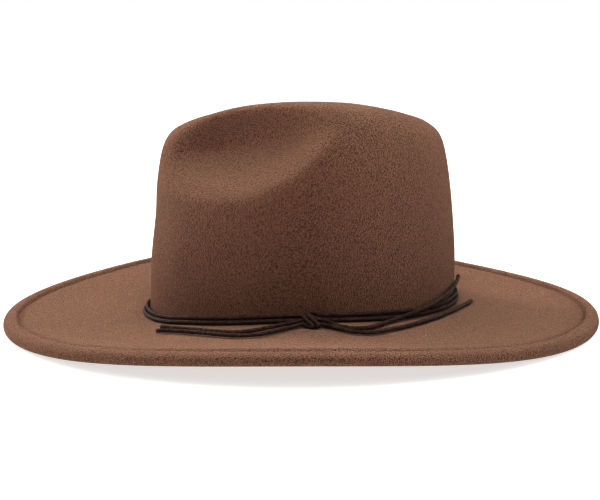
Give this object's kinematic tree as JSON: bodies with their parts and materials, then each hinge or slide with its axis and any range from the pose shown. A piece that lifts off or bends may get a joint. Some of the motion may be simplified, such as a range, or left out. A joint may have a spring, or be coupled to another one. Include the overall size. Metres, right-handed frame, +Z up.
{
  "type": "slouch hat",
  "caption": "Wide-brimmed felt hat with a pinched, creased crown, a rolled brim edge and a pair of leather laces knotted at the side.",
  "frame": {"origin": "centre of the brim's outline on the surface that the hat rests on", "axes": "+Z up through the crown, -Y towards the hat's front, +X towards the wearer's left, where the laces are tied"},
  "size_m": [0.3644, 0.3878, 0.1443],
  "materials": {
    "felt": "matt brown wool felt with a short nap",
    "lace": "waxed dark brown round leather lace"
  },
  "bodies": {
    "root": {"felt_body": "felt", "lace_upper": "lace", "lace_lower": "lace", "knot": "lace", "tail_front_upper": "lace", "tail_front_lower": "lace", "tail_back_upper": "lace", "tail_back_lower": "lace"}
  },
  "joints": []
}
